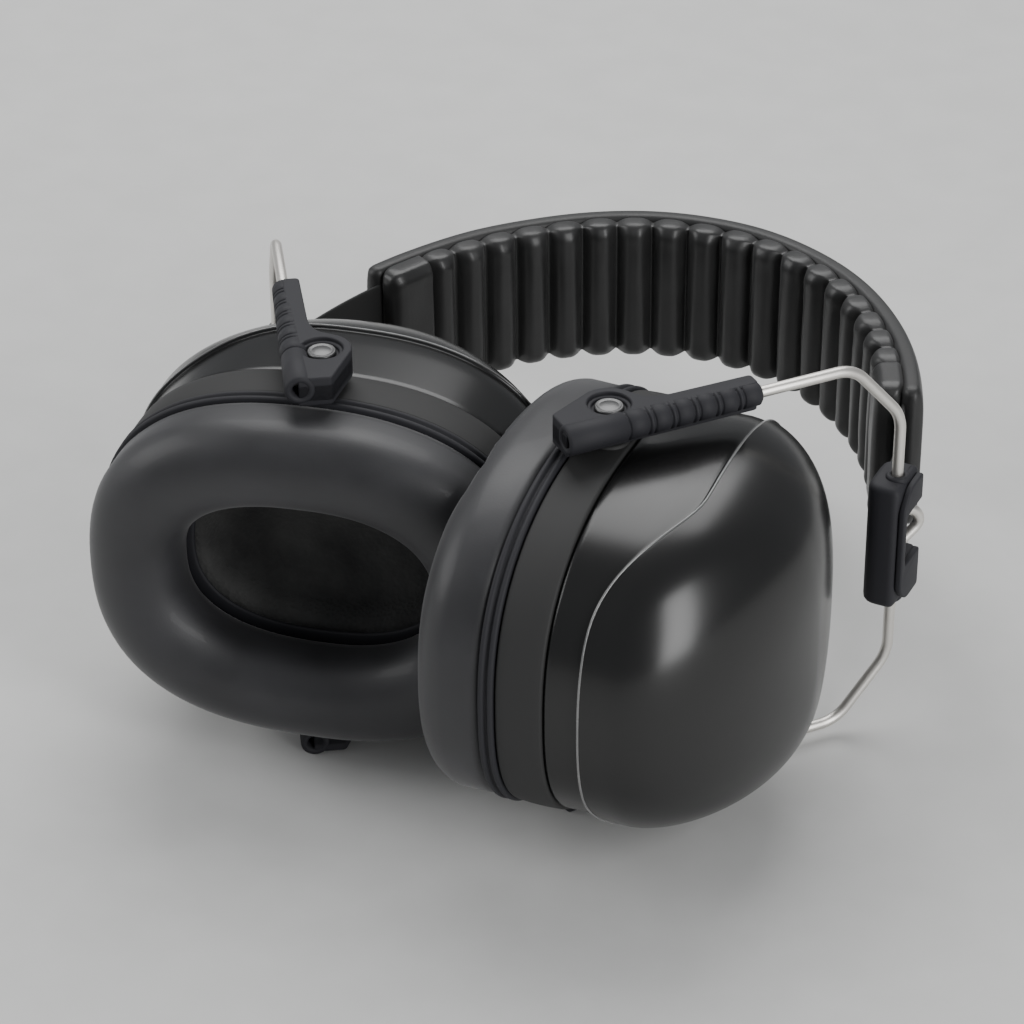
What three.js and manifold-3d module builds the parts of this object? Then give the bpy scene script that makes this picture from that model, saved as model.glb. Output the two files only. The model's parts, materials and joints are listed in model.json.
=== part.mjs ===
// Folding earmuff hearing protector, lying on its side. Millimetres, +Z up.
// The headband arch lies flat: +X is the wearer's right, +Y the crown. Every pivot axis is vertical.
import * as THREE from "three";
import Module from "manifold-3d";
import { mergeVertices } from "three/addons/utils/BufferGeometryUtils.js";

const wasm = await Module();
wasm.setup();

// ---- driving dimensions ----
const GAP = 0.3; // clearance between neighbouring pieces
const ARCH_STEPS = 60;
const OVAL_SIDES = 40;

// Headband: an elliptic arch, measured on the crests of the inner folds.
const ARCH = { halfWidth: 76.5, depth: 108, centreY: -17 };
const PAD = { width: 41, endY: 33, length: 210, grooveDepth: 3.2, folds: 18, smoothEnd: 15 };
const LAYER = { pad: [0, 6.6], strap: [6.9, 8.1], backing: [8.4, 10.6], cover: [10.9, 12.6] };
const STRAP_WIDTH = 32;

// End blocks: the vertical wire axis stands at (86.4, 0) in the block.
const BLOCK = { x: 86.4, inner: 5.9, outer: 3.0, length: 16, height: 34.6, corner: 3 };
const WINDOW = { low: -6.4, high: 10, back: -1.9, near: -5 };
const COVER_PLATE = { thickness: 1.4, chamfer: 4.5, inset: 0.8 };
const RIVET = { radius: 1.4, headRadius: 2.5, headHeight: 0.9, y: 4.6, z: 13.2 };

// Wire yoke. Distances run along the arm from the pivot pin towards the end block.
const WIRE_RADIUS = 1.4;
const YOKE = { offset: 6.4, tip: -10.2, bend: 61.8, leg: 75.9, armHeight: 51.2, legHeight: 34.8 };
const BUMP = { reach: 7.6, shoulder: 5.4, top: 6.9, apex: 2.4, bottom: -3.6 };
const BEND_RADIUS = 5;

// Slide arms: a tube round the wire with a lobe that takes the pivot pin. Distances run as above.
const ARM = { tip: -14.6, end: 36.2, rootRadius: 3.7, endRadius: 3.0, bottom: 46.7, top: 54 };
const NOTCH = { first: 0.9, pitch: 5.9, count: 6, width: 1.3, depth: 0.5 };
const PIN = { radius: 1.6, headRadius: 3.5, headTop: 53.4, headHeight: 2, seatRadius: 4.2, foot: 38.6 };
const WASHER = { radius: 4, low: 45.5, high: 46.4 };

// Ear cups. Outward is +X, crown is +Y, and the pivot axis is X = Y = 0.
const CUP = { halfLength: 55, halfWidth: 44.4, squareness: 2.46, wall: 2.6 };
const RING = { back: -5.9, front: 5.6, wall: 3 };
const BOSS = { radius: 5, top: 45.2, bore: 1.95 };
const SHELL = { base: 5.9, straight: 16.1, dome: 31.4, lengthPower: 1.75, widthPower: 4.2, step: 0.8 };
const PANEL = { low: 14.8, high: 29, from: -50, to: -14 };
const PLATE = { back: -10.1, front: -6.2, proud: 0.8, opening: 16 };
const CUSHION = { front: -25, back: -10.4, outer: 0.2, opening: 13.5 };
const LINER = { front: -4.5, back: 30, halfLength: 46, halfWidth: 35.5, dish: 5 };
const FRAME = { front: -8.6, back: -6.9, inset: 17, width: 5 };

// The pose at rest, in degrees: each yoke folded in from the worn position, each cup tilted in its yoke.
const FOLD = { right: 39.2, left: 33.1 };
const TILT = { right: 41.6, left: 111.3 };

const COLOUR = {
  vinyl: { color: 0x131314, roughness: 0.5, metalness: 0 },
  foam: { color: 0x1c1c1e, roughness: 0.95, metalness: 0 },
  satin: { color: 0x111112, roughness: 0.42, metalness: 0 },
  matt: { color: 0x161617, roughness: 0.62, metalness: 0 },
  gloss: { color: 0x080809, roughness: 0.12, metalness: 0 },
  strap: { color: 0x0e0e0f, roughness: 0.45, metalness: 0 },
  wire: { color: 0xd4d2cc, roughness: 0.3, metalness: 1 },
  pin: { color: 0x4b4b4c, roughness: 0.35, metalness: 1 },
};

// ---- helpers ----

// A closed solid for cutting and joining, from any closed three.js geometry.
function solid(geometry) {
  const plain = geometry.index ? geometry.toNonIndexed() : geometry.clone();
  plain.deleteAttribute("normal");
  plain.deleteAttribute("uv");
  const merged = mergeVertices(plain, 1e-4);
  return new wasm.Manifold(new wasm.Mesh({
    numProp: 3,
    vertProperties: new Float32Array(merged.attributes.position.array),
    triVerts: new Uint32Array(merged.index.array),
  }));
}

function geometryOf(body) {
  const { vertProperties, triVerts } = body.getMesh();
  const geometry = new THREE.BufferGeometry();
  geometry.setAttribute("position", new THREE.BufferAttribute(new Float32Array(vertProperties), 3));
  geometry.setIndex(new THREE.BufferAttribute(new Uint32Array(triVerts), 1));
  return geometry;
}

function piece(name, geometry, finish) {
  const mesh = new THREE.Mesh(geometry, new THREE.MeshStandardMaterial(COLOUR[finish]));
  mesh.geometry.computeVertexNormals();
  mesh.name = name;
  return mesh;
}

// Skins a stack of rings. Ends close on a pole point each, or the last ring joins the first.
function skin(rings, poles = null) {
  const count = rings[0].length;
  const points = rings.flat().map((p) => [...p]);
  const triangles = [];
  const last = poles ? rings.length - 1 : rings.length;
  for (let i = 0; i < last; i += 1) {
    const a = i * count;
    const b = ((i + 1) % rings.length) * count;
    for (let j = 0; j < count; j += 1) {
      const k = (j + 1) % count;
      triangles.push([a + j, a + k, b + k], [a + j, b + k, b + j]);
    }
  }
  if (poles) {
    const start = points.push(poles[0]) - 1;
    const end = points.push(poles[1]) - 1;
    const top = (rings.length - 1) * count;
    for (let j = 0; j < count; j += 1) {
      const k = (j + 1) % count;
      triangles.push([start, k, j], [end, top + j, top + k]);
    }
  }
  if (volume(points, triangles) < 0) triangles.forEach((t) => t.reverse());
  const geometry = new THREE.BufferGeometry();
  geometry.setAttribute("position", new THREE.Float32BufferAttribute(points.flat(), 3));
  geometry.setIndex(triangles.flat());
  return geometry;
}

function volume(points, triangles) {
  const [a, b, c] = [new THREE.Vector3(), new THREE.Vector3(), new THREE.Vector3()];
  return triangles.reduce((sum, [i, j, k]) => {
    a.fromArray(points[i]);
    b.fromArray(points[j]);
    c.fromArray(points[k]);
    return sum + a.dot(b.cross(c));
  }, 0);
}

// One oval of the cup family at a given distance outward, with its own half length and half width.
function oval(outward, halfLength, halfWidth, count = OVAL_SIDES, power = CUP.squareness) {
  return Array.from({ length: count }, (_, i) => {
    const angle = (i / count) * 2 * Math.PI;
    const [c, s] = [Math.cos(angle), Math.sin(angle)];
    const reach = (Math.abs(c) ** power + Math.abs(s) ** power) ** (-1 / power);
    return [outward, halfLength * c * reach, halfWidth * s * reach];
  });
}

// A closed section of [outward, inset] points carried round the cup's outline.
function ovalRing(section, count = OVAL_SIDES) {
  return skin(section.map(([outward, inset]) =>
    oval(outward, CUP.halfLength - inset, CUP.halfWidth - inset, count)));
}

function box(low, high) {
  const size = high.map((v, i) => v - low[i]);
  const geometry = new THREE.BoxGeometry(...size);
  return geometry.translate(...low.map((v, i) => v + size[i] / 2));
}

// A solid turned from [radius, height] pairs about the Y axis.
function turned(profile, sides = 16) {
  return new THREE.LatheGeometry(profile.map(([r, y]) => new THREE.Vector2(r, y)), sides);
}

// An upright round solid whose axis passes through (x, y).
function post(x, y, low, high, radius, sides = 16) {
  const geometry = new THREE.CylinderGeometry(radius, radius, high - low, sides);
  return geometry.rotateX(Math.PI / 2).translate(x, y, (low + high) / 2);
}

function extrudeUp(outline, low, high, bevel = 0) {
  const shape = new THREE.Shape(outline.map(([x, y]) => new THREE.Vector2(x, y)));
  const options = { depth: high - low - 2 * bevel, bevelEnabled: bevel > 0, bevelSegments: 1 };
  const geometry = new THREE.ExtrudeGeometry(shape, {
    ...options, bevelThickness: bevel, bevelSize: bevel, bevelOffset: -bevel, curveSegments: 8,
  });
  return geometry.translate(0, 0, low + bevel);
}

// The same piece for the other end of the pivot axis.
function mirrorDown(geometry) {
  const flipped = geometry.index ? geometry.toNonIndexed() : geometry.clone();
  flipped.deleteAttribute("normal");
  flipped.deleteAttribute("uv");
  const { array } = flipped.attributes.position;
  for (let i = 0; i < array.length; i += 9) {
    for (let j = 2; j < 9; j += 3) array[i + j] *= -1;
    for (let j = 0; j < 3; j += 1) {
      [array[i + j], array[i + 3 + j]] = [array[i + 3 + j], array[i + j]];
    }
  }
  return flipped;
}

// ---- headband ----

// A point at a share of the way round the arch, moved out from the crest line.
function archPoint(angle, depth) {
  const x = ARCH.halfWidth * Math.cos(angle);
  const y = ARCH.depth * Math.sin(angle);
  const normal = new THREE.Vector2(x / ARCH.halfWidth ** 2, y / ARCH.depth ** 2).normalize();
  return [x + normal.x * depth, ARCH.centreY + y + normal.y * depth];
}

// The angles on the arch where a layer that ends at a given height y starts and stops.
function archSpan(endY) {
  const start = Math.asin((endY - ARCH.centreY) / ARCH.depth);
  return [start, Math.PI - start];
}

function archLayer(endY, [inner, outer], steps, height, innerDepth = () => inner) {
  const [from, to] = archSpan(endY);
  const angles = Array.from({ length: steps + 1 }, (_, i) => from + ((to - from) * i) / steps);
  const front = angles.map((angle, i) => archPoint(angle, innerDepth(i / steps, inner)));
  const back = angles.filter((_, i) => i % 2 === 0).map((angle) => archPoint(angle, outer));
  return extrudeUp([...front, ...back.reverse()], -height / 2, height / 2);
}

function headband() {
  const group = new THREE.Group();
  const smooth = PAD.smoothEnd / PAD.length;
  const foldDepth = (share) => {
    const along = (share - smooth) / (1 - 2 * smooth);
    if (along < 0 || along > 1) return 0;
    return PAD.grooveDepth * (1 - Math.abs(Math.sin(Math.PI * PAD.folds * along)) ** 0.6);
  };
  const padSteps = PAD.folds * 6 + 12;
  const strap = springStrap(LAYER.strap, STRAP_WIDTH).subtract(rivetHoles());
  group.add(
    piece("headband_pad", archLayer(PAD.endY, LAYER.pad, padSteps, PAD.width, foldDepth), "vinyl"),
    piece("headband_backing", archLayer(PAD.endY, LAYER.backing, ARCH_STEPS, PAD.width), "foam"),
    piece("headband_cover", archLayer(PAD.endY, LAYER.cover, ARCH_STEPS, PAD.width), "vinyl"),
    piece("spring_strap", geometryOf(strap), "strap"),
  );
  return group;
}

function springStrap(layer, width) {
  return solid(archLayer(-BLOCK.length / 2 + 2.5, layer, ARCH_STEPS, width));
}

// Four rivet holes, two at each end of the strap, bored along X.
function rivetHoles() {
  const holes = [];
  for (const side of [1, -1]) {
    for (const up of [1, -1]) holes.push(rivetBore(side, up));
  }
  return holes.reduce((all, hole) => all.add(hole));
}

function rivetBore(side, up) {
  const bore = new THREE.CylinderGeometry(RIVET.radius + GAP, RIVET.radius + GAP, 30, 12);
  return solid(bore.rotateZ(Math.PI / 2).translate(side * (BLOCK.x - 8), RIVET.y, up * RIVET.z));
}

// ---- end block, modelled for the right side with the wire axis at X = Y = 0 ----

function blockOutline() {
  const { inner, outer, length, corner } = BLOCK;
  const half = length / 2;
  return [[-inner, half - corner], [-inner, -half + corner], [-inner + corner, -half],
    [outer - 1.5, -half], [outer, -half + 1.5], [outer, half - 1.5], [outer - 1.5, half],
    [-inner + corner, half]];
}

function endBlock(side) {
  const { outer } = BLOCK;
  const half = BLOCK.height / 2;
  const slotLayer = [LAYER.strap[0] - GAP, LAYER.strap[1] + GAP];
  const strapSlot = springStrap(slotLayer, STRAP_WIDTH + 2 * GAP).translate([-BLOCK.x, 0, 0]);
  const bores = solid(rivetSleeve(GAP)).add(solid(mirrorDown(rivetSleeve(GAP))));
  const body = solid(extrudeUp(blockOutline(), -half, half, 1))
    .add(solid(post(0, 0, half - 1.5, half + 1.6, 2.9)))
    .add(solid(post(0, 0, -half - 1.6, -half + 1.5, 2.9)))
    .subtract(solid(post(0, 0, -half - 5, half + 5, WIRE_RADIUS + GAP)))
    .subtract(solid(box([WINDOW.back, WINDOW.near, WINDOW.low], [outer + 1, half, WINDOW.high])))
    .subtract(strapSlot)
    .subtract(bores);
  return piece(`end_block_${side}`, geometryOf(body), "satin");
}

// A rivet's shank and its two heads; the heads sink flush into the block.
function rivetSleeve(extra) {
  const [shank, head, rise] = [RIVET.radius + extra, RIVET.headRadius + extra, RIVET.headHeight + extra];
  const [inside, outside] = [-BLOCK.inner - 0.1, BLOCK.outer + 0.1];
  const profile = [[0, inside - extra], [head, inside - extra], [head, inside + rise],
    [shank, inside + rise], [shank, outside - rise], [head, outside - rise], [head, outside + extra],
    [0, outside + extra]];
  return turned(profile, 12).rotateZ(-Math.PI / 2).translate(0, RIVET.y, RIVET.z);
}

function rivets(side) {
  const [top, bottom] = endNames(side);
  return [piece(`block_rivet_${top}_${side}`, rivetSleeve(0), "pin"),
    piece(`block_rivet_${bottom}_${side}`, mirrorDown(rivetSleeve(0)), "pin")];
}

// The left set is the right one turned over, so its modelled top end becomes the lower one.
function endNames(side) {
  return side === "right" ? ["upper", "lower"] : ["lower", "upper"];
}

// The raised plate on the block's outer face, with chamfered corners and a notch for the wire's bump.
function coverPlate(side) {
  const { thickness, chamfer, inset } = COVER_PLATE;
  const [halfY, halfZ] = [BLOCK.length / 2 - inset, BLOCK.height / 2 - inset];
  const outline = [[-halfY, -halfZ + chamfer], [-halfY, halfZ - chamfer], [-halfY + chamfer, halfZ],
    [halfY - 1, halfZ], [halfY, halfZ - 1], [halfY, -halfZ + 1], [halfY - 1, -halfZ],
    [-halfY + chamfer, -halfZ]];
  const plate = extrudeUp(outline, 0, thickness, 0.4);
  plate.rotateX(Math.PI / 2).rotateZ(Math.PI / 2).translate(BLOCK.outer + GAP, 0, 0);
  const window = box([0, WINDOW.near + 1, WINDOW.low + 1], [20, halfY + 1, WINDOW.high - 1]);
  return piece(`block_plate_${side}`, geometryOf(solid(plate).subtract(solid(window))), "satin");
}

// ---- wire yoke, worn position: the arms run along Y, the block's wire axis at X = Y = 0 ----

// A bent rod in the plane X = 0: straight runs between corners that are rounded with short arcs.
class BentRod extends THREE.Curve {
  constructor(corners, radius) {
    super();
    this.stations = corners.flatMap((corner, i) => {
      if (i === 0 || i === corners.length - 1) return [corner];
      return roundedCorner(corners[i - 1], corner, corners[i + 1], radius);
    });
  }

  getPoint(share) {
    const place = share * (this.stations.length - 1);
    const i = Math.min(Math.floor(place), this.stations.length - 2);
    return this.stations[i].clone().lerp(this.stations[i + 1], place - i);
  }

  getPointAt(share) {
    return this.getPoint(share);
  }

  getTangentAt(share) {
    const step = 0.5 / (this.stations.length - 1);
    const [before, after] = [Math.max(share - step, 0), Math.min(share + step, 1)];
    return this.getPoint(after).sub(this.getPoint(before)).normalize();
  }
}

function roundedCorner(before, corner, after, radius) {
  const reach = Math.min(radius, before.distanceTo(corner) / 2.2, after.distanceTo(corner) / 2.2);
  const start = corner.clone().lerp(before, reach / before.distanceTo(corner));
  const end = corner.clone().lerp(after, reach / after.distanceTo(corner));
  return new THREE.QuadraticBezierCurve3(start, corner, end).getPoints(4);
}

function yokeWire(side) {
  const at = (along, height) => new THREE.Vector3(0, along - YOKE.leg, height);
  const { armHeight, legHeight, tip, bend, leg } = YOKE;
  const corners = [at(tip, armHeight), at(bend, armHeight), at(leg, legHeight),
    at(leg, BUMP.top), at(leg + BUMP.shoulder, BUMP.top), at(leg + BUMP.reach, BUMP.apex),
    at(leg, BUMP.bottom), at(leg, -legHeight), at(bend, -armHeight), at(tip, -armHeight)];
  const route = new BentRod(corners, BEND_RADIUS);
  const section = new THREE.Shape().absarc(0, 0, WIRE_RADIUS, 0, 2 * Math.PI, false);
  const rod = new THREE.ExtrudeGeometry(section, {
    steps: route.stations.length - 1, extrudePath: route, curveSegments: 5,
  });
  return piece(`yoke_wire_${side}`, geometryOf(solid(rod)), "wire");
}

// ---- slide arms, pins and washers, with the pivot axis at X = Y = 0 ----

// The lobe and web seen from above: outer side round the wire, inner side bulging round the pin.
function armOutline() {
  const { tip, end } = ARM;
  const axis = YOKE.offset;
  return [[axis + 1.2, tip], [axis + 1, end], [axis - 3.6, end], [axis - 3.8, 12.5], [1.6, 7.6],
    [-1.5, 6.9], [-5, 5], [-6.9, 1.6], [-6.9, -1.8], [-1.4, tip]];
}

function armTube() {
  const { tip, end, rootRadius, endRadius } = ARM;
  const tube = new THREE.CylinderGeometry(endRadius, rootRadius, end - tip, 16);
  return tube.translate(YOKE.offset, (tip + end) / 2, YOKE.armHeight);
}

// Grip notches: rings cut into the outer half of the tube only.
function gripNotches() {
  const cuts = Array.from({ length: NOTCH.count }, (_, i) => {
    const along = NOTCH.first + NOTCH.pitch * i;
    const share = (along - ARM.tip) / (ARM.end - ARM.tip);
    const floor = ARM.rootRadius + (ARM.endRadius - ARM.rootRadius) * share - NOTCH.depth;
    const half = (i === 0 || i === NOTCH.count - 1 ? 0.5 : 1) * NOTCH.width / 2;
    const reach = floor + 4;
    const section = [[floor, -half], [reach, -half], [reach, half], [floor, half], [floor, -half]];
    return solid(turned(section).translate(YOKE.offset, along, YOKE.armHeight));
  });
  const outerHalf = solid(box([YOKE.offset + 0.4, ARM.tip, 40], [YOKE.offset + 12, ARM.end, 62]));
  return cuts.reduce((all, cut) => all.add(cut)).intersect(outerHalf);
}

function slideArm() {
  const { tip, end, bottom, top } = ARM;
  const length = end - tip + 4;
  const bore = new THREE.CylinderGeometry(WIRE_RADIUS + GAP, WIRE_RADIUS + GAP, length, 12);
  const mouth = new THREE.CylinderGeometry(WIRE_RADIUS + GAP, WIRE_RADIUS + 1, 1.6, 12);
  const axis = [YOKE.offset, 0, YOKE.armHeight];
  return geometryOf(solid(extrudeUp(armOutline(), bottom, top, 0.7))
    .add(solid(armTube()))
    .subtract(gripNotches())
    .subtract(solid(bore.translate(axis[0], (tip + end) / 2, axis[2])))
    .subtract(solid(mouth.translate(axis[0], tip + 0.7, axis[2])))
    .subtract(solid(post(0, 0, bottom - 2, top + 2, PIN.radius + GAP)))
    .subtract(solid(post(0, 0, PIN.headTop - PIN.headHeight - GAP, top + 2, PIN.seatRadius))));
}

function pivotPin() {
  const { radius, headRadius, headTop, headHeight, foot } = PIN;
  const neck = headTop - headHeight;
  const profile = [[0, foot], [radius, foot], [radius, neck], [headRadius, neck],
    [headRadius, headTop - 0.6], [headRadius - 0.7, headTop], [0, headTop]];
  return turned(profile).rotateX(Math.PI / 2);
}

function washer() {
  const { radius, low, high } = WASHER;
  const inner = PIN.radius + GAP;
  const section = [[inner, low], [radius, low], [radius, high], [inner, high], [inner, low]];
  return turned(section).rotateX(Math.PI / 2);
}

function armSet(side) {
  const group = new THREE.Group();
  const [top, bottom] = endNames(side);
  const parts = [["slide_arm", slideArm(), "satin"], ["pivot_pin", pivotPin(), "pin"],
    ["pivot_washer", washer(), "matt"]];
  for (const [name, geometry, finish] of parts) {
    group.add(piece(`${name}_${top}_${side}`, geometry, finish));
    group.add(piece(`${name}_${bottom}_${side}`, mirrorDown(geometry), finish));
  }
  return group;
}

// ---- ear cup, with the pivot axis at X = Y = 0 ----

// How much the dome has drawn in at a height above its straight wall, along and across.
function domeScale(outward, dome) {
  const rise = Math.max(0, (outward - SHELL.base - SHELL.straight) / dome);
  const across = Math.max(0, 1 - Math.min(rise, 1) ** SHELL.lengthPower);
  return [across ** (1 / SHELL.lengthPower), across ** (1 / SHELL.widthPower)];
}

// The panel's edge: low round the chin end, rising in an S to the long sides and the crown end.
function panelEdge(along) {
  const share = THREE.MathUtils.smoothstep(along, PANEL.from, PANEL.to);
  return PANEL.low + (PANEL.high - PANEL.low) * share;
}

// One ring of the shell. A height between 0 and 1 runs from the base to the panel edge, and one
// between 1 and 2 from there to the crown of the dome.
function shellRing(level, inset, lift, count) {
  const top = SHELL.base + SHELL.straight + SHELL.dome - inset;
  return oval(0, 1, 1, count).map(([, c, s]) => {
    const edge = panelEdge(CUP.halfLength * c);
    const outward = level <= 1
      ? SHELL.base + (edge - SHELL.base) * level
      : edge + (top - edge) * Math.sin((level - 1) * Math.PI / 2);
    const [along, across] = domeScale(outward, SHELL.dome - inset);
    const halfLength = (CUP.halfLength - inset + lift) * along;
    const halfWidth = (CUP.halfWidth - inset + lift) * across;
    return [outward, halfLength * c, halfWidth * s];
  });
}

function cupShell(side) {
  const count = OVAL_SIDES;
  const { step } = SHELL;
  const { wall } = CUP;
  const outer = [0, 0.96].map((level) => shellRing(level, 0, -step, count));
  const panel = [1, 1.25, 1.45, 1.6, 1.73, 1.84, 1.94].map((level) =>
    shellRing(level, 0, 0, count));
  const hollow = [1.92, 1.75, 1.5, 1.25, 0.95, 0].map((level) => shellRing(level, wall, -step, count));
  const top = SHELL.base + SHELL.straight + SHELL.dome;
  const outside = solid(skin([...outer, ...panel], [[SHELL.base, 0, 0], [top, 0, 0]]));
  const inside = hollow.reverse();
  inside.unshift(inside[0].map(([, y, z]) => [SHELL.base - 5, y, z]));
  const cavity = solid(skin(inside, [[SHELL.base - 5, 0, 0], [top - wall, 0, 0]]));
  return piece(`cup_shell_${side}`, geometryOf(outside.subtract(cavity)), "gloss");
}

// The matt band between shell and cushion, with a bored boss at each end of the pivot axis.
function cupRing(side) {
  const { back, front, wall } = RING;
  const band = [[back, 0.5], [back + 0.5, 0], [front - 0.5, 0], [front, 0.5], [front, wall],
    [back, wall]];
  let body = solid(ovalRing(band));
  for (const up of [1, -1]) {
    const [low, high] = [CUP.halfWidth - wall - 1.5, BOSS.top].map((z) => z * up).sort((a, b) => a - b);
    const inner = [low - 3, high + 3];
    body = body.add(solid(post(0, 0, low, high, BOSS.radius)))
      .subtract(solid(post(0, 0, ...inner, BOSS.bore)));
  }
  return piece(`cup_ring_${side}`, geometryOf(body), "matt");
}

// The plate that the cushion snaps to: a flat oval frame with a groove round its edge.
function cushionPlate(side) {
  const { back, front, proud, opening } = PLATE;
  const groove = (back + front) / 2;
  const section = [[back, 0.6 - proud], [back + 0.5, -proud], [groove - 0.5, -proud], [groove, 0.7 - proud],
    [groove + 0.5, -proud], [front - 0.5, -proud], [front, 0.6 - proud], [front, opening],
    [back, opening]];
  return piece(`cushion_plate_${side}`, ovalRing(section), "satin");
}

// A plain ring of the cushion's size, flat where it seals against the head.
function earCushion(side) {
  const { back, front, outer, opening } = CUSHION;
  const bulge = 4;
  const section = [[back, outer + 1], [back - 1, outer], [front + 8, outer], [front + 2.5, outer + 1.5],
    [front, outer + bulge], [front, opening - bulge], [front + 2.5, opening - 1], [front + 6, opening],
    [back, opening]];
  return piece(`ear_cushion_${side}`, ovalRing(section, 36), "vinyl");
}

// Foam that fills the shell, with a shallow dish towards the ear.
function foamLiner(side) {
  const { front, back, halfLength, halfWidth, dish } = LINER;
  const rings = [oval(front + dish, halfLength * 0.6, halfWidth * 0.6, 32),
    oval(front, halfLength * 0.92, halfWidth * 0.92, 32), oval(front + 1.5, halfLength, halfWidth, 32),
    oval(back - 6, halfLength, halfWidth, 32), oval(back, halfLength * 0.85, halfWidth * 0.85, 32)];
  return piece(`foam_liner_${side}`, skin(rings, [[front + dish, 0, 0], [back, 0, 0]]), "foam");
}

// The thin frame that holds the liner in front, inside the cushion opening.
function linerFrame(side) {
  const { back, front, inset, width } = FRAME;
  const section = [[back, inset], [front, inset], [front, inset + width], [back, inset + width]];
  return piece(`liner_frame_${side}`, ovalRing(section), "satin");
}

function earCup(side) {
  const group = new THREE.Group();
  group.add(cupShell(side), cupRing(side), cushionPlate(side), earCushion(side), foamLiner(side),
    linerFrame(side));
  return group;
}

// ---- assembly ----

// One side of the object, modelled as the right one. The left side is the same set turned over.
function sideSet(side) {
  const yoke = new THREE.Group();
  const arms = armSet(side);
  const cup = earCup(side);
  arms.position.set(-YOKE.offset, -YOKE.leg, 0);
  cup.position.copy(arms.position);
  cup.rotation.z = THREE.MathUtils.degToRad(TILT[side]);
  yoke.add(yokeWire(side), arms, cup);
  yoke.rotation.z = THREE.MathUtils.degToRad(-FOLD[side]);
  const station = new THREE.Group();
  station.add(endBlock(side), coverPlate(side), ...rivets(side), yoke);
  station.position.x = BLOCK.x;
  const whole = new THREE.Group();
  whole.add(station);
  if (side === "left") whole.rotation.y = Math.PI;
  return whole;
}

const earmuff = new THREE.Group();
earmuff.add(headband(), sideSet("right"), sideSet("left"));

// Stand the object on Z = 0 with the middle of its footprint over the origin.
earmuff.updateMatrixWorld(true);
const bounds = new THREE.Box3().setFromObject(earmuff, true);
const middle = bounds.getCenter(new THREE.Vector3());
earmuff.position.set(-middle.x, -middle.y, -bounds.min.z);

export default earmuff;
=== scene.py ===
"""Looks for a folding earmuff hearing protector that lies on its side.

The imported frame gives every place: pivot points come from its joints, and the facing of each cup
from its mounts. The sizes of the pieces are fields of their classes, in millimetres.
"""

import json
import logging
import math
from dataclasses import dataclass
from enum import Enum
from typing import Any, Callable, Sequence

import bmesh
import bpy
from mathutils import Matrix, Vector, noise
from mathutils.bvhtree import BVHTree

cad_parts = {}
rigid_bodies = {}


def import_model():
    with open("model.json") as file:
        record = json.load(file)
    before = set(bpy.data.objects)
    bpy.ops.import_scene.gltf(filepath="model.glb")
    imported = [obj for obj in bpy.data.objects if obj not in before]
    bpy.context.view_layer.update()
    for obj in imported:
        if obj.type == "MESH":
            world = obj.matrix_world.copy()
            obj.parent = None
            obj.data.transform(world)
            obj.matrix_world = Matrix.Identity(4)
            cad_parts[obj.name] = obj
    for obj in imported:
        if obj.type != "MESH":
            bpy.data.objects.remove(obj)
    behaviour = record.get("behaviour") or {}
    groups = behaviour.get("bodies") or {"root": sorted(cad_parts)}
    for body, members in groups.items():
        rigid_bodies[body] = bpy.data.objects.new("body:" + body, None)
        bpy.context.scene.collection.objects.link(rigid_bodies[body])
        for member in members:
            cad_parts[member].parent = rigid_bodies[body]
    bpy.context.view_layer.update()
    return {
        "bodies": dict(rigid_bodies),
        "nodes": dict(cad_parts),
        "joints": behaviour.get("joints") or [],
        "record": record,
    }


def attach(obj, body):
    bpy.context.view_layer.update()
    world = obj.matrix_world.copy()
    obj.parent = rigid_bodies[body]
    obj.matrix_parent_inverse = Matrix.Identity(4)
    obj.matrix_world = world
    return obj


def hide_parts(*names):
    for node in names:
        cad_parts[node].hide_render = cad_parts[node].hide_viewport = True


LOG = logging.getLogger("earmuff")
MM = 0.001
STIR_SEED = 7
Point = tuple[float, float, float]
Pair = tuple[float, float]


class Hand(Enum):
    """The wearer's side that a piece belongs to."""

    LEFT = "left"
    RIGHT = "right"


class End(Enum):
    """The end of the pivot axis that a piece sits at."""

    UPPER = "upper"
    LOWER = "lower"


class Texture(Enum):
    """The relief of a surface."""

    GRAIN = "grain"
    PEEL = "peel"
    CELLS = "cells"
    DRAWN = "drawn"


# ---- finishes ----


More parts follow.
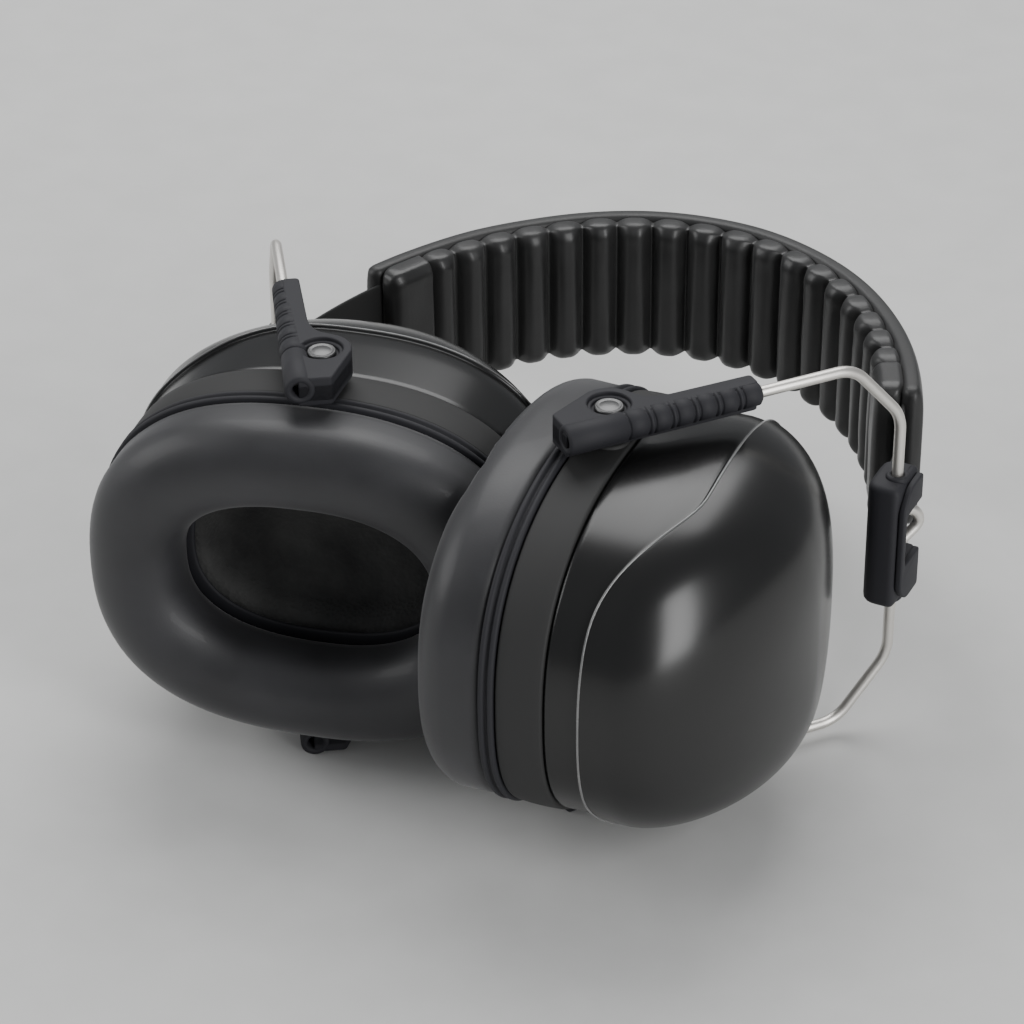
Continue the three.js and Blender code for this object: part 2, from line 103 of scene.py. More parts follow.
@dataclass(frozen=True)
class Finish:
    """One surface finish, made as a procedural node material.

    Attributes:
        name: Name of the material.
        slot: The record's material slot that the finish belongs to; nothing in the script reads it.
        dark: Base colour in the low parts of the tone variation.
        light: Base colour in the high parts.
        roughness: Lowest and highest roughness.
        texture: The kind of relief.
        size: Size of the relief's grain in millimetres.
        depth: Depth of the relief in millimetres.
        metallic: 1 for bare metal.
        coat: Weight of the clear coat.
        sheen: Weight of the soft sheen.
    """

    name: str
    slot: str
    dark: Point
    light: Point
    roughness: Pair
    texture: Texture = Texture.GRAIN
    size: float = 0.6
    depth: float = 0.02
    metallic: float = 0.0
    coat: float = 0.0
    sheen: float = 0.0

    def material(self) -> bpy.types.Material:
        """Makes the material, or returns it if it is already there.

        Returns:
            The node material.
        """
        made = bpy.data.materials.get(self.name)
        if made:
            return made
        material = bpy.data.materials.new(self.name)
        material.use_nodes = True
        nodes = material.node_tree.nodes
        shader = nodes["Principled BSDF"]
        shader.inputs["Metallic"].default_value = self.metallic
        shader.inputs["Coat Weight"].default_value = self.coat
        shader.inputs["Coat Roughness"].default_value = 0.04
        shader.inputs["Sheen Weight"].default_value = self.sheen
        shader.inputs["Sheen Roughness"].default_value = 0.4
        place = nodes.new("ShaderNodeTexCoord")
        self._tone(material, shader, place)
        self._relief(material, shader, place)
        return material

    def _tone(self, material: bpy.types.Material, shader: Any, place: Any) -> None:
        """Varies colour and roughness over the surface.

        Args:
            material: The material to work in.
            shader: Its shader node.
            place: Its coordinate node.
        """
        nodes, links = material.node_tree.nodes, material.node_tree.links
        cloud = nodes.new("ShaderNodeTexNoise")
        cloud.inputs["Scale"].default_value = 55
        cloud.inputs["Detail"].default_value = 6
        ramp = nodes.new("ShaderNodeValToRGB")
        ramp.color_ramp.elements[0].position = 0.35
        ramp.color_ramp.elements[1].position = 0.68
        ramp.color_ramp.elements[0].color = (*self.dark, 1)
        ramp.color_ramp.elements[1].color = (*self.light, 1)
        spread = nodes.new("ShaderNodeMapRange")
        spread.inputs["From Min"].default_value = 0.3
        spread.inputs["From Max"].default_value = 0.7
        spread.inputs["To Min"].default_value = self.roughness[0]
        spread.inputs["To Max"].default_value = self.roughness[1]
        links.new(place.outputs["Object"], cloud.inputs["Vector"])
        links.new(cloud.outputs["Fac"], ramp.inputs["Fac"])
        links.new(ramp.outputs["Color"], shader.inputs["Base Color"])
        links.new(cloud.outputs["Fac"], spread.inputs["Value"])
        links.new(spread.outputs["Result"], shader.inputs["Roughness"])

    def _relief(self, material: bpy.types.Material, shader: Any, place: Any) -> None:
        """Adds the bump of the surface.

        Args:
            material: The material to work in.
            shader: Its shader node.
            place: Its coordinate node.
        """
        nodes, links = material.node_tree.nodes, material.node_tree.links
        stretch = nodes.new("ShaderNodeMapping")
        scale = 1 / (self.size * MM)
        if self.texture is Texture.CELLS:
            pattern = nodes.new("ShaderNodeTexVoronoi")
            height = pattern.outputs["Distance"]
        else:
            pattern = nodes.new("ShaderNodeTexNoise")
            pattern.inputs["Detail"].default_value = 2 if self.texture is Texture.PEEL else 5
            height = pattern.outputs["Fac"]
        if self.texture is Texture.DRAWN:
            stretch.inputs["Scale"].default_value = (1, 1, 0.08)
        pattern.inputs["Scale"].default_value = scale
        bump = nodes.new("ShaderNodeBump")
        bump.inputs["Strength"].default_value = 0.6
        bump.inputs["Distance"].default_value = self.depth * MM
        links.new(place.outputs["Object"], stretch.inputs["Vector"])
        links.new(stretch.outputs["Vector"], pattern.inputs["Vector"])
        links.new(height, bump.inputs["Height"])
        links.new(bump.outputs["Normal"], shader.inputs["Normal"])

    def dress(self, piece: bpy.types.Object) -> bpy.types.Object:
        """Gives the piece this finish.

        Args:
            piece: The object to dress.

        Returns:
            The same object.
        """
        piece.data.materials.clear()
        piece.data.materials.append(self.material())
        return piece


CUSHION_VINYL = Finish("cushion_vinyl", "padded_vinyl", (0.019, 0.019, 0.021), (0.028, 0.028, 0.031),
                       (0.46, 0.56), Texture.GRAIN, 0.5, 0.035, coat=0.04, sheen=0.14)
BAND_VINYL = Finish("band_vinyl", "padded_vinyl", (0.013, 0.013, 0.013), (0.021, 0.021, 0.021),
                    (0.38, 0.5), Texture.GRAIN, 0.7, 0.05, coat=0.1, sheen=0.1)
COVER_VINYL = Finish("cover_vinyl", "vinyl_skin", (0.012, 0.012, 0.012), (0.019, 0.019, 0.019),
                     (0.46, 0.58), Texture.GRAIN, 0.8, 0.05, coat=0.03, sheen=0.1)
LINER_FOAM = Finish("liner_foam", "foam", (0.03, 0.03, 0.03), (0.075, 0.075, 0.073),
                    (0.9, 1.0), Texture.CELLS, 1.1, 0.5, sheen=0.1)
GLOSS_SHELL = Finish("gloss_shell", "gloss_shell", (0.006, 0.006, 0.006), (0.009, 0.009, 0.0088),
                     (0.16, 0.24), Texture.PEEL, 3.5, 0.012, coat=1.0)
# Light grey finish of the panel-edge bead: a painted highlight line on the near black shell.
PAINTED_HIGHLIGHT_EDGE = Finish("painted_highlight_edge", "gloss_shell", (0.1, 0.1, 0.1), (0.17, 0.17, 0.168),
                       (0.2, 0.3), Texture.PEEL, 2.0, 0.01, coat=1.0)
MATT_BAND = Finish("matt_band", "matt_band", (0.022, 0.022, 0.023), (0.03, 0.03, 0.031),
                   (0.44, 0.54), Texture.GRAIN, 0.35, 0.03)
SATIN_PLASTIC = Finish("satin_plastic", "satin_plastic", (0.008, 0.008, 0.008), (0.014, 0.014, 0.0135),
                       (0.24, 0.36), Texture.GRAIN, 0.5, 0.018, coat=0.3)
STRAP_PLASTIC = Finish("strap_plastic", "strap_plastic", (0.008, 0.008, 0.008), (0.014, 0.014, 0.014),
                       (0.34, 0.46), Texture.DRAWN, 0.5, 0.03)
WIRE_STEEL = Finish("wire_steel", "wire_steel", (0.9, 0.89, 0.87), (0.97, 0.96, 0.94),
                    (0.3, 0.42), Texture.DRAWN, 0.3, 0.02, metallic=0.9)
PIN_STEEL = Finish("pin_steel", "pin_steel", (0.16, 0.16, 0.155), (0.26, 0.26, 0.25),
                   (0.26, 0.38), Texture.GRAIN, 0.4, 0.03, metallic=1.0)
FLOOR_PAPER = Finish("floor_paper", "floor", (0.6, 0.6, 0.59), (0.63, 0.63, 0.62),
                     (0.75, 0.85), Texture.GRAIN, 2.0, 0.02)


# ---- mesh tools ----


def mesh_piece(name: str, points: Sequence[Sequence[float]], faces: Sequence[Sequence[int]],
               place: Matrix) -> bpy.types.Object:
    """Makes a smooth-shaded object from points in millimetres.

    Args:
        name: Name of the object.
        points: Points in the local frame, in millimetres.
        faces: Point numbers of each face.
        place: The local frame in the row frame, in metres.

    Returns:
        The object, with its place in its mesh.
    """
    mesh = bpy.data.meshes.new(name)
    mesh.from_pydata([place @ (Vector(p) * MM) for p in points], [], faces)
    body = bmesh.new()
    body.from_mesh(mesh)
    bmesh.ops.remove_doubles(body, verts=body.verts, dist=1e-7)
    bmesh.ops.recalc_face_normals(body, faces=body.faces)
    body.to_mesh(mesh)
    body.free()
    mesh.shade_smooth()
    piece = bpy.data.objects.new(name, mesh)
    bpy.context.collection.objects.link(piece)
    return piece


def skin(rings: Sequence[Sequence[Sequence[float]]], round_trip: bool = False,
         start: Sequence[float] | None = None,
         end: Sequence[float] | None = None) -> tuple[list, list]:
    """Joins rings of points into one surface.

    Args:
        rings: Closed rings with the same number of points.
        round_trip: Whether the last ring joins the first.
        start: A pole that closes the first ring.
        end: A pole that closes the last ring.

    Returns:
        The points and the faces.
    """
    count = len(rings[0])
    points = [tuple(p) for ring in rings for p in ring]
    faces = []
    for i in range(len(rings) if round_trip else len(rings) - 1):
        a, b = i * count, ((i + 1) % len(rings)) * count
        for j in range(count):
            k = (j + 1) % count
            faces.append((a + j, a + k, b + k, b + j))
    for pole, first in ((start, 0), (end, (len(rings) - 1) * count)):
        if pole is not None:
            points.append(tuple(pole))
            faces += [(len(points) - 1, first + j, first + (j + 1) % count) for j in range(count)]
    return points, faces


def lathe(name: str, profile: Sequence[Pair], centre: Point, axis: str, place: Matrix,
          sides: int = 48) -> bpy.types.Object:
    """Turns a profile about an axis of the local frame.

    Args:
        name: Name of the object.
        profile: (radius, distance along the axis) pairs.
        centre: A point on the axis.
        axis: "y" or "z".
        place: The local frame.
        sides: Number of facets round the axis.

    Returns:
        The turned object.
    """
    rings = []
    for radius, along in profile:
        ring = []
        for i in range(sides):
            angle = 2 * math.pi * i / sides
            c, s = radius * math.cos(angle), radius * math.sin(angle)
            offset = (c, along, s) if axis == "y" else (c, s, along)
            ring.append(tuple(a + b for a, b in zip(centre, offset)))
        rings.append(ring)
    return mesh_piece(name, *skin(rings), place)


def round_corners(outline: Sequence[Sequence[float]], radii: Sequence[float] | float,
                  steps: int = 6) -> list[Pair]:
    """Rounds the corners of a closed outline.

    Args:
        outline: Corner points.
        radii: One radius for all corners, or one each.
        steps: Points on each corner's arc.

    Returns:
        The rounded outline.
    """
    rounded = []
    for i, corner in enumerate(outline):
        radius = radii if isinstance(radii, (int, float)) else radii[i]
        here = Vector(corner)
        before, after = Vector(outline[i - 1]) - here, Vector(outline[(i + 1) % len(outline)]) - here
        reach = min(radius, before.length / 2.05, after.length / 2.05)
        a, b = here + before.normalized() * reach, here + after.normalized() * reach
        for k in range(steps + 1):
            t = k / steps
            rounded.append(tuple(a * (1 - t) ** 2 + here * 2 * t * (1 - t) + b * t ** 2))
    return rounded


def slab(name: str, outlines: Sequence[Sequence[Pair]], low: float, high: float, bevel: float,
         place: Matrix) -> bpy.types.Object:
    """Extrudes a flat outline with holes along Z, with rounded edges.

    Args:
        name: Name of the object.
        outlines: The outer outline first, then the holes.
        low: Bottom of the slab.
        high: Top of the slab.
        bevel: Radius of its edges.
        place: The local frame.

    Returns:
        The slab as a mesh object.
    """
    curve = bpy.data.curves.new(name, "CURVE")
    curve.dimensions = "2D"
    curve.fill_mode = "BOTH"
    for outline in outlines:
        spline = curve.splines.new("POLY")
        spline.points.add(len(outline) - 1)
        for point, (x, y) in zip(spline.points, outline):
            point.co = (x, y, 0, 1)
        spline.use_cyclic_u = True
    curve.extrude = (high - low) / 2 - bevel
    curve.bevel_depth = bevel
    curve.bevel_resolution = 3
    curve.offset = -bevel
    holder = bpy.data.objects.new(name, curve)
    mesh = bpy.data.meshes.new_from_object(holder)
    bpy.data.objects.remove(holder)
    points = [(v.co.x, v.co.y, v.co.z + (low + high) / 2) for v in mesh.vertices]
    faces = [tuple(p.vertices) for p in mesh.polygons]
    bpy.data.meshes.remove(mesh)
    piece = mesh_piece(name, points, faces, place)
    sharpen(piece, 35)
    return piece


def sharpen(piece: bpy.types.Object, degrees: float) -> None:
    """Shades edges above an angle sharp.

    Args:
        piece: The object.
        degrees: The angle.
    """
    piece.data.set_sharp_from_angle(angle=math.radians(degrees))


def circle(x: float, y: float, radius: float, sides: int = 40) -> list[Pair]:
    """A round outline.

    Args:
        x: Centre along X.
        y: Centre along Y.
        radius: Its radius.
        sides: Its number of points.

    Returns:
        The points.
    """
    turns = (2 * math.pi * i / sides for i in range(sides))
    return [(x + radius * math.cos(t), y + radius * math.sin(t)) for t in turns]


def join(name: str, parts: Sequence[bpy.types.Object]) -> bpy.types.Object:
    """Joins meshes that belong to one moulding.

    Args:
        name: Name of the result.
        parts: The objects, which are used up.

    Returns:
        The joined object.
    """
    whole = bmesh.new()
    for part in parts:
        whole.from_mesh(part.data)
        bpy.data.objects.remove(part)
    mesh = bpy.data.meshes.new(name)
    whole.to_mesh(mesh)
    whole.free()
    piece = bpy.data.objects.new(name, mesh)
    bpy.context.collection.objects.link(piece)
    return piece


def cut(piece: bpy.types.Object, cutter: bpy.types.Object) -> None:
    """Takes the cutter's volume out of the piece.

    Args:
        piece: The object to cut.
        cutter: The object that is cut away and removed.
    """
    change = piece.modifiers.new("cut", "BOOLEAN")
    change.operation = "DIFFERENCE"
    change.solver = "EXACT"
    change.object = cutter
    graph = bpy.context.evaluated_depsgraph_get()
    mesh = bpy.data.meshes.new_from_object(piece.evaluated_get(graph))
    piece.modifiers.clear()
    old = piece.data
    piece.data = mesh
    bpy.data.meshes.remove(old)
    bpy.data.objects.remove(cutter)
    sharpen(piece, 35)


def block_of(low: Point, high: Point, place: Matrix) -> bpy.types.Object:
    """A plain box, used for cutting only.

    Args:
        low: Its lowest corner.
        high: Its highest corner.
        place: The local frame.

    Returns:
        The box.
    """
    rings = [[(x, y, z) for x, y in ((low[0], low[1]), (high[0], low[1]), (high[0], high[1]),
                                     (low[0], high[1]))] for z in (low[2], high[2])]
    points, faces = skin(rings)
    return mesh_piece("cutter", points, [*faces, (0, 1, 2, 3), (4, 5, 6, 7)], place)


def stir(piece: bpy.types.Object, fineness: float, reach: float) -> None:
    """Moves the points of a soft piece a little, so that it isn't perfectly even.

    Args:
        piece: The soft piece.
        fineness: How quickly the stir changes, per metre.
        reach: The size of the stir, in millimetres.
    """
    for vertex in piece.data.vertices:
        vertex.co += noise.noise_vector(vertex.co * fineness) * (reach * MM)


def finish_piece(piece: bpy.types.Object, body: str, look: Finish, *nodes: str) -> bpy.types.Object:
    """Dresses a piece, lets it ride on its body and puts it in place of its frame nodes.

    Args:
        piece: The piece.
        body: The body that it moves with.
        look: Its finish.
        *nodes: The frame nodes that it stands for.

    Returns:
        The piece.
    """
    look.dress(piece)
    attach(piece, body)
    if nodes:
        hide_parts(*nodes)
    LOG.info("%s rides on %s", piece.name, body)
    return piece


# ---- frame readings ----


@dataclass
class Station:
    """Where one side's pieces are, read from the frame.

    Attributes:
        hand: The wearer's side.
        block: The wire's turning axis in the end block.
        pin: The tilting axis of the cup.
        towards_block: Direction of the arms, from the cup to the block.
        outward: Direction that the shell faces.
    """

    hand: Hand
    block: Vector
    pin: Vector
    towards_block: Vector
    outward: Vector

    @classmethod
    def read(cls, frame: dict, hand: Hand) -> "Station":
        """Reads a side from the frame.

        Args:
            hand: The side.

        Returns:
            The station.
        """
        joints = {j["name"]: j for j in frame["record"]["behaviour"]["joints"]}
        mounts = {m["name"]: m for m in frame["record"]["mounts"]}
        side = hand.value
        return cls(hand, Vector(joints[f"fold_{side}"]["pos_m"]), Vector(joints[f"tilt_{side}"]["pos_m"]),
                   -Vector(joints[f"height_{side}"]["axis"]), -Vector(mounts[f"ear_seal_{side}"]["axis"]))

    @property
    def top(self) -> Vector:
        """The local Z axis: the left side is the right one turned over."""
        return Vector((0, 0, 1 if self.hand is Hand.RIGHT else -1))

    def _frame(self, origin: Vector, x: Vector, y: Vector) -> Matrix:
        """Makes a placing matrix.

        Args:
            origin: Its origin, in metres.
            x: Its X axis.
            y: Its Y axis.

        Returns:
            The matrix.
        """
        turn = Matrix((x.normalized(), y.normalized(), self.top)).transposed()
        return Matrix.Translation(origin) @ turn.to_4x4()

    @property
    def yoke_place(self) -> Matrix:
        """Frame at the block's wire axis, with Y along the arms."""
        y = self.towards_block
        return self._frame(self.block, y.cross(self.top), y)

    @property
    def arm_place(self) -> Matrix:
        """Frame at the pin, with Y along the arms towards the block."""
        y = self.towards_block
        return self._frame(self.pin, y.cross(self.top), y)

    @property
    def cup_place(self) -> Matrix:
        """Frame at the pin, with X outward and Y towards the cup's crown end."""
        x = self.outward
        return self._frame(self.pin, x, self.top.cross(x))

    @property
    def block_place(self) -> Matrix:
        """Frame at the block's wire axis, square to the headband."""
        x = Vector((1, 0, 0)) if self.hand is Hand.RIGHT else Vector((-1, 0, 0))
        return self._frame(self.block, x, self.top.cross(x))

    def end_name(self, end: End) -> str:
        """Name of the frame's end that the modelled end comes to lie at.

        Args:
            end: The modelled end.

        Returns:
            "upper" or "lower".
        """
        if self.hand is Hand.RIGHT:
            return end.value
        return (End.LOWER if end is End.UPPER else End.UPPER).value


# ---- headband ----


@dataclass
class Headband:
    """The padded arch with its spring strap.

    Attributes:
        middle: Point midway between the two wire axes, in metres.
        half_width: Half width of the arch on the crests of the folds.
        depth: Reach of the arch from its centre to the crown.
        centre_y: The arch's centre, from the wire axes.
        pad_end_y: Height at which the padding ends.
        width: Width of the padding.
        folds: Number of folds.
        fold_depth: Depth of the creases.
        smooth_end: Length of the plain stretch at each end.
    """

    middle: Vector
    half_width: float = 76.5
    depth: float = 108.0
    centre_y: float = -17.0
    pad_end_y: float = 33.0
    width: float = 41.0
    folds: int = 18
    fold_depth: float = 4.1
    smooth_end: float = 13.0

    def at(self, angle: float, depth: float) -> Vector:
        """A point of the arch's plane.

        Args:
            angle: Angle on the arch, 0 at the wearer's right.
            depth: Distance outward from the crests of the folds.

        Returns:
            The point, in millimetres from the middle.
        """
        x, y = self.half_width * math.cos(angle), self.depth * math.sin(angle)
        normal = Vector((x / self.half_width ** 2, y / self.depth ** 2)).normalized()
        return Vector((x + normal.x * depth, self.centre_y + y + normal.y * depth))

    def walk(self, end_y: float, steps: int) -> tuple[list[float], float]:
        """Angles at even steps of length along the arch.

        Args:
            end_y: Height at which the stretch starts and stops.
            steps: Number of steps.

        Returns:
            The angles, and the length of the stretch.
        """
        low = math.asin((end_y - self.centre_y) / self.depth)
        fine = [low + (math.pi - 2 * low) * i / 2000 for i in range(2001)]
        run = [0.0]
        for a, b in zip(fine, fine[1:]):
            run.append(run[-1] + (self.at(b, 0) - self.at(a, 0)).length)
        angles, k = [], 0
        for i in range(steps + 1):
            goal = run[-1] * i / steps
            while k < 1999 and run[k + 1] < goal:
                k += 1
            angles.append(fine[k] + (fine[k + 1] - fine[k]) * (goal - run[k]) / (run[k + 1] - run[k]))
        return angles, run[-1]

    def loft(self, name: str, end_y: float, steps: int,
             section: Callable[[float, float], list[Pair]], end_round: float) -> bpy.types.Object:
        """Carries a section along the arch and rounds its two ends.

        Args:
            name: Name of the piece.
            end_y: Height at which it ends.
            steps: Steps along the arch.
            section: Gives (depth, height) pairs for a place along the arch and the arch's length.
            end_round: Length over which the ends round off.

        Returns:
            The lofted piece.
        """
        angles, length = self.walk(end_y, steps)
        rings = []
        for i, angle in enumerate(angles):
            along = length * i / steps
            edge = min(along, length - along)
            close = math.sqrt(max(0.0, 1 - (1 - min(edge / end_round, 1)) ** 2))
            ring = section(along, length)
            centre = sum(d for d, _ in ring) / len(ring)
            shrink = 0.35 + 0.65 * close
            rings.append([(*self.at(angle, centre + (d - centre) * shrink),
                           z - math.copysign(min(end_round, abs(z)) * 0.6 * (1 - close), z))
                          for d, z in ring])
        place = Matrix.Translation(self.middle)
        count = len(rings[0])
        points, faces = skin(rings)
        last = (len(rings) - 1) * count
        faces += [tuple(range(count)), tuple(range(last, last + count))]
        return mesh_piece(name, points, faces, place)

    def crease(self, along: float, length: float) -> float:
        """How deep a place lies in a crease, from 0 on a crest to 1 at the bottom.

        Args:
            along: Distance from the arch's start.
            length: Length of the arch.

        Returns:
            The share of the crease's depth.
        """
        share = (along - self.smooth_end) / (length - 2 * self.smooth_end)
        if not 0 < share < 1:
            return 0.0
        return (1 - abs(math.sin(math.pi * self.folds * share))) ** 1.5

    def ribbed_section(self, along: float, length: float) -> list[Pair]:
        """Section of the ribbed cover.

        Args:
            along: Distance from the arch's start.
            length: Length of the arch.

        Returns:
            (depth, height) pairs round the section.
        """
        crease = self.crease(along, length)
        stir = noise.noise(Vector((along * 0.045, 3.1, 0.7))) * 0.35
        half = self.width / 2 - 1.5 * crease + stir * 0.6
        ring = []
        for i in range(56):
            angle = 2 * math.pi * i / 56
            c, s = math.cos(angle), math.sin(angle)
            inner = max(0.0, -math.copysign(abs(c) ** 0.5, c))
            height = math.copysign(abs(s) ** (0.42 if c < 0 else 0.15), s)
            depth = 3.9 + 3.9 * math.copysign(abs(c) ** (0.5 if c < 0 else 0.3), c)
            shoulder = math.exp(-((abs(height) - 0.86) / 0.1) ** 2) * 0.5 * (1 - crease)
            ruffle = noise.noise(Vector((along * 0.22, height * 1.7, 9.2))) * 0.28
            depth += inner * (self.fold_depth * crease - shoulder + ruffle + stir)
            ring.append((depth, height * half))
        return ring

    def sleeve_section(self, along: float, _length: float) -> list[Pair]:
        """Section of the smooth outer cover.

        Args:
            along: Distance from the arch's start.
            _length: Length of the arch, which the section doesn't need.

        Returns:
            (depth, height) pairs round the section.
        """
        half = self.width / 2 - 0.2 + noise.noise(Vector((along * 0.05, 1.3, 4.4))) * 0.3
        ring = []
        for i in range(48):
            angle = 2 * math.pi * i / 48
            c, s = math.cos(angle), math.sin(angle)
            ring.append((9.9 + 3.0 * math.copysign(abs(c) ** 0.6, c),
                         half * math.copysign(abs(s) ** (0.38 if c > 0 else 0.15), s)))
        return ring

    def strap_section(self, _along: float, _length: float) -> list[Pair]:
        """Section of the spring strap: thin, with rounded edges.

        Args:
            _along: Distance from the arch's start, which the section doesn't need.
            _length: Length of the arch, which it doesn't need either.

        Returns:
            (depth, height) pairs round the section.
        """
        return [(7.5 + 0.6 * math.copysign(abs(math.cos(t)) ** 0.6, math.cos(t)),
                 16 * math.copysign(abs(math.sin(t)) ** 0.12, math.sin(t)))
                for t in (2 * math.pi * i / 32 for i in range(32))]

    def build(self) -> None:
        """Builds the padding, the outer cover and the strap."""
        pad = self.loft("ribbed_pad", self.pad_end_y, self.folds * 22 + 40, self.ribbed_section, 4.0)
        finish_piece(pad, "headband", BAND_VINYL, "headband_pad")
        sleeve = self.loft("outer_sleeve", self.pad_end_y - 1, 160, self.sleeve_section, 2.5)
        finish_piece(sleeve, "headband", COVER_VINYL, "headband_cover", "headband_backing")
        strap = self.loft("strap", -5.5, 160, self.strap_section, 1.0)
        finish_piece(strap, "headband", STRAP_PLASTIC, "spring_strap")


# ---- end blocks ----


@dataclass
class EndBlock:
    """The moulded block on the strap's end that carries the wire.

    Attributes:
        station: Its side.
        inner: Reach from the wire axis towards the head.
        outer: Reach from the wire axis outward.
        length: Length along the strap.
        height: Height along the wire.
    """

    station: Station
    inner: float = 5.9
    outer: float = 3.0
    length: float = 16.0
    height: float = 34.6

    def build(self) -> None:
        """Builds the block body and its raised plate."""
        side = self.station.hand.value
        self.body(side)
        self.plate(side)
        for end in End:
            rivet = bpy.data.objects[f"block_rivet_{end.value}_{side}"]
            PIN_STEEL.dress(rivet)

    def body(self, side: str) -> None:
        """Builds the block with its collars and window.

        Args:
            side: The wearer's side.
        """
        place = self.station.block_place
        half, length = self.height / 2, self.length / 2
        outline = [(-self.inner, 1 - length), (self.outer, 1 - length), (self.outer, length),
                   (-self.inner, length)]
        body = slab("body", [round_corners(outline, (5, 2, 1.6, 4), 5)], -half, half, 1.8, place)
        cut(body, block_of((-1.9, -5, -6.4), (10, 20, 10), place))
        parts = [body]
        for end in (1, -1):
            profile = [(0, half - 3), (3.0, half - 3), (2.9, half + 0.3), (2.5, half + 0.8),
                       (1.7, half + 0.8), (1.7, half - 2)]
            parts.append(lathe("collar", [(r, end * z) for r, z in profile], (0, 0, 0), "z", place))
        finish_piece(join(f"block_body_{side}", parts), "headband", SATIN_PLASTIC, f"end_block_{side}")

    def plate(self, side: str) -> None:
        """Builds the raised plate with chamfered corners and the notch for the wire's bump.

        Args:
            side: The wearer's side.
        """
        y, z = self.length / 2 - 1.6, self.height / 2 - 1.0
        outline = [(-y, -z + 4.5), (-y + 4.5, -z), (y, -z), (y, -5.4), (-4, -5.4), (-4, 9), (y, 9),
                   (y, z), (-y + 4.5, z), (-y, z - 4.5)]
        radii = (2, 2, 1.2, 0.6, 1.2, 1.2, 0.6, 1.2, 2, 2)
        turn = Matrix(((0, 0, 1), (1, 0, 0), (0, 1, 0))).to_4x4()
        plate = slab("plate", [round_corners(outline, radii, 5)], self.outer, self.outer + 1.7, 0.5,
                     self.station.block_place @ turn)
        plate.name = f"raised_plate_{side}"
        finish_piece(plate, "headband", SATIN_PLASTIC, f"block_plate_{side}")


# ---- wire yoke ----


@dataclass
class WireYoke:
    """One bent steel wire with two legs and a bump in its vertical stretch.

    Attributes:
        station: Its side.
        radius: Radius of the wire.
        leg: Distance from the pin to the vertical stretch.
        bend: Distance from the pin to the first bend.
        arm_height: Height of the legs above the middle.
        leg_height: Height of the second bend.
        tip: Place of the wire's end.
    """

    station: Station
    radius: float = 1.4
    leg: float = 75.9
    bend: float = 61.8
    arm_height: float = 51.2
    leg_height: float = 34.8
    tip: float = -10.2

    def route(self) -> list[Vector]:
        """The wire's centre line, with its bends as arcs.

        Returns:
            Points in the yoke's frame.
        """
        a, b = self.arm_height, self.leg_height
        corners = [(self.tip, a), (self.bend, a), (self.leg, b), (self.leg, 6.9),
                   (self.leg + 5.4, 6.9), (self.leg + 7.6, 2.4), (self.leg, -3.6), (self.leg, -b),
                   (self.bend, -a), (self.tip, -a)]
        radii = (0, 4.6, 4.2, 2.4, 3, 3, 3, 4.2, 4.6, 0)
        line = [Vector(corners[0])]
        for i in range(1, len(corners) - 1):
            here = Vector(corners[i])
            before, after = Vector(corners[i - 1]) - here, Vector(corners[i + 1]) - here
            reach = min(radii[i], before.length / 2.05, after.length / 2.05)
            p, q = here + before.normalized() * reach, here + after.normalized() * reach
            line += [p * (1 - t) ** 2 + here * 2 * t * (1 - t) + q * t ** 2
                     for t in (k / 10 for k in range(11))]
        line.append(Vector(corners[-1]))
        return [Vector((0, y - self.leg, z)) for y, z in line]

    def build(self) -> None:
        """Builds the wire as a round sweep with softened ends."""
        side = self.station.hand.value
        line = self.route()
        rings = []
        for i, point in enumerate(line):
            along = (line[min(i + 1, len(line) - 1)] - line[max(i - 1, 0)]).normalized()
            across = Vector((1, 0, 0))
            other = along.cross(across)
            rings.append([point + (across * math.cos(t) + other * math.sin(t)) * self.radius
                          for t in (2 * math.pi * k / 24 for k in range(24))])
        for index, back in ((0, 1), (-1, -1)):
            point = line[index]
            near = (line[index + back] - point).normalized()
            tip = [point + (p - point) * 0.7 - near * 0.4 for p in rings[index]]
            rings.insert(0 if index == 0 else len(rings), tip)
        points, faces = skin(rings, start=line[0] + Vector((0, -0.4, 0)),
                             end=line[-1] + Vector((0, -0.4, 0)))
        wire = mesh_piece(f"bent_wire_{side}", points, faces, self.station.yoke_place)
        finish_piece(wire, f"yoke_{side}", WIRE_STEEL, f"yoke_wire_{side}")


# ---- slide arms ----


